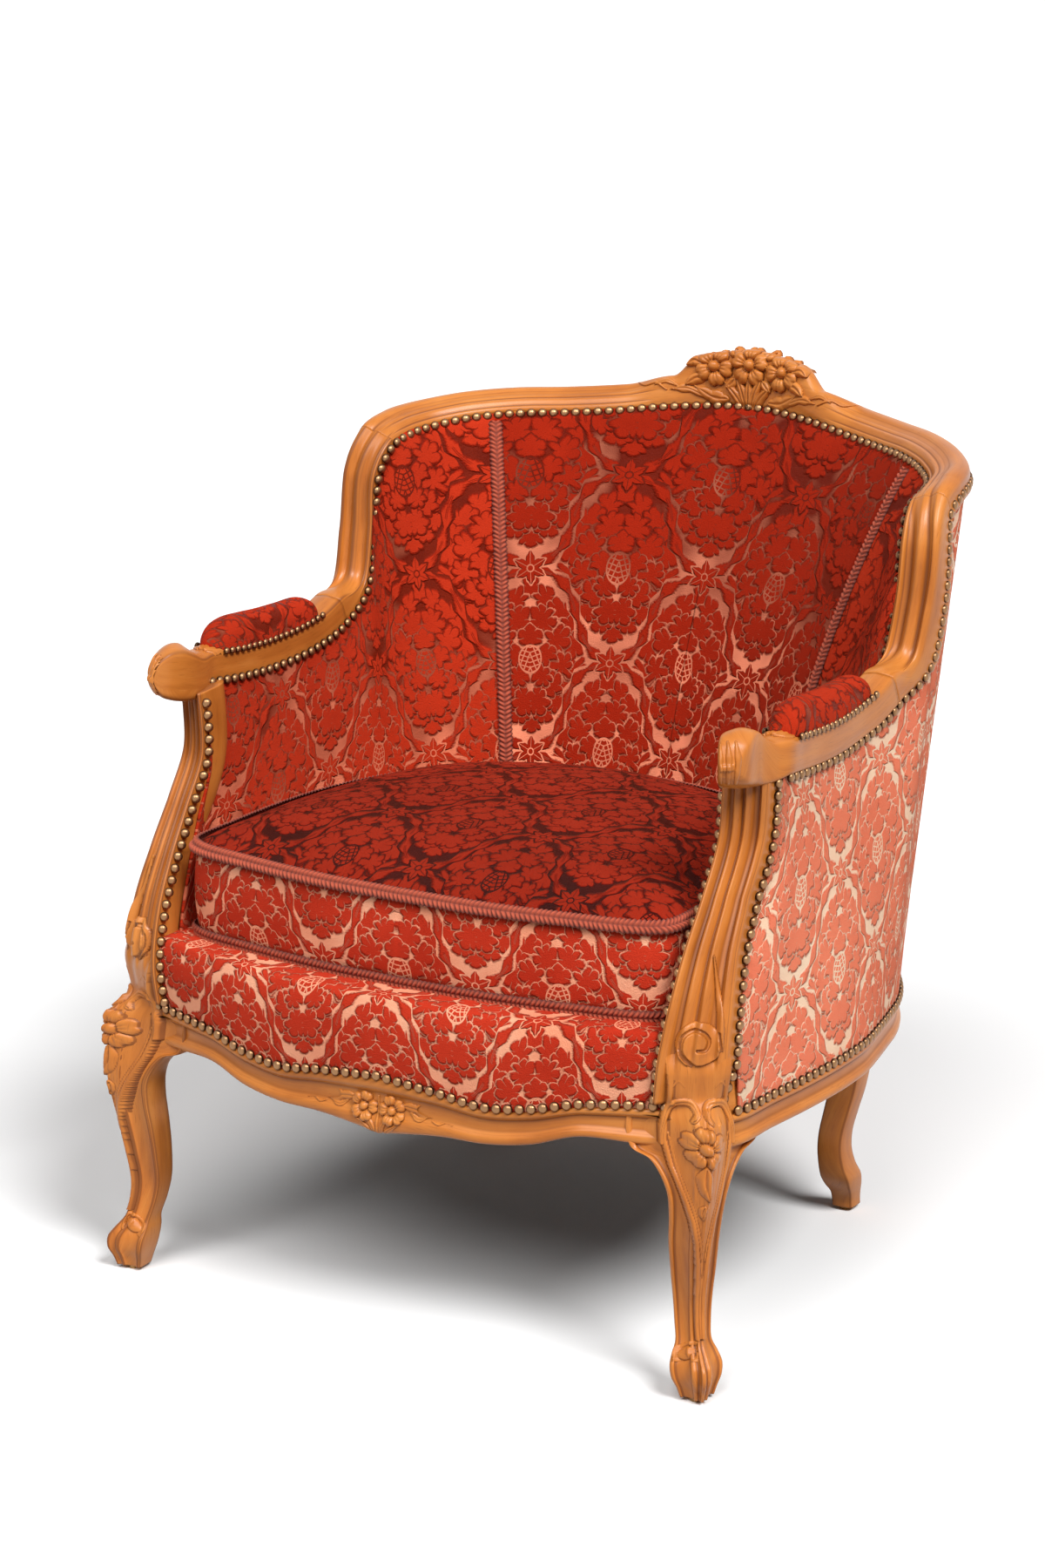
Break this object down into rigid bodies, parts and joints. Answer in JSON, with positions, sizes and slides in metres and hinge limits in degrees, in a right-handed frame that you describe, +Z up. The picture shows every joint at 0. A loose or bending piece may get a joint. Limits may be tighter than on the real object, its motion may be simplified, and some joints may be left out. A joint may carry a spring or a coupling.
{
  "type": "bergere armchair",
  "caption": "Wing-back upholstered armchair with a carved show-wood frame, scrolled arms, cabriole legs and a loose seat cushion.",
  "frame": {"origin": "on the floor, midway between the sides and midway between the foremost and rearmost points of the chair", "axes": "+X to the right of someone who faces the chair, +Y from the seat front to the back, +Z up"},
  "size_m": [0.7596, 0.805, 0.918],
  "materials": {
    "show_wood": "satin varnish over carved walnut",
    "frame_wood": "plain beech, hidden",
    "damask": "cut velvet damask",
    "braid": "woven gimp",
    "webbing": "woven jute",
    "canvas": "plain cloth",
    "stuffing": "padding",
    "spring_wire": "coppered steel wire",
    "brass_fittings": "aged brass"
  },
  "bodies": {
    "chair": {"arm_dowel_left": "frame_wood", "arm_dowel_right": "frame_wood", "arm_left": "show_wood", "arm_pad_left": "damask", "arm_pad_right": "damask", "arm_right": "show_wood", "arm_support_left": "show_wood", "arm_support_right": "show_wood", "back_braid_left": "braid", "back_braid_right": "braid", "crest_dowel_left": "frame_wood", "crest_dowel_right": "frame_wood", "deck_cover": "canvas", "dust_cover": "canvas", "front_band": "damask", "front_corner_block_left": "frame_wood", "front_corner_block_right": "frame_wood", "front_cross_strap": "webbing", "front_glide_left": "brass_fittings", "front_glide_right": "brass_fittings", "front_leg_left": "show_wood", "front_leg_right": "show_wood", "front_rail": "show_wood", "front_spring_left": "spring_wire", "front_spring_right": "spring_wire", "inside_arm_left": "damask", "inside_arm_right": "damask", "inside_back": "damask", "leg_dowel_left": "frame_wood", "leg_dowel_right": "frame_wood", "long_web_strap_left": "webbing", "long_web_strap_right": "webbing", "outside_arm_left": "damask", "outside_arm_right": "damask", "outside_back": "damask", "rear_corner_block_left": "frame_wood", "rear_corner_block_right": "frame_wood", "rear_cross_strap": "webbing", "rear_glide_left": "brass_fittings", "rear_glide_right": "brass_fittings", "rear_leg_left": "show_wood", "rear_leg_right": "show_wood", "rear_rail": "show_wood", "rear_spring_left": "spring_wire", "rear_spring_right": "spring_wire", "seat_pad": "stuffing", "side_rail_left": "show_wood", "side_rail_right": "show_wood", "spring_canvas": "canvas", "top_rail": "show_wood", "wing_dowel_left": "frame_wood", "wing_dowel_right": "frame_wood", "wing_left": "show_wood", "wing_right": "show_wood"},
    "cushion": {"cushion_bottom": "damask", "cushion_bottom_braid": "braid", "cushion_boxing": "damask", "cushion_core": "stuffing", "cushion_top": "damask", "cushion_top_braid": "braid"}
  },
  "joints": [
    {"name": "cushion_lift", "type": "slide", "parent": "chair", "child": "cushion", "axis": [0, 0, 1], "range_m": [0, 0.28]}
  ]
}
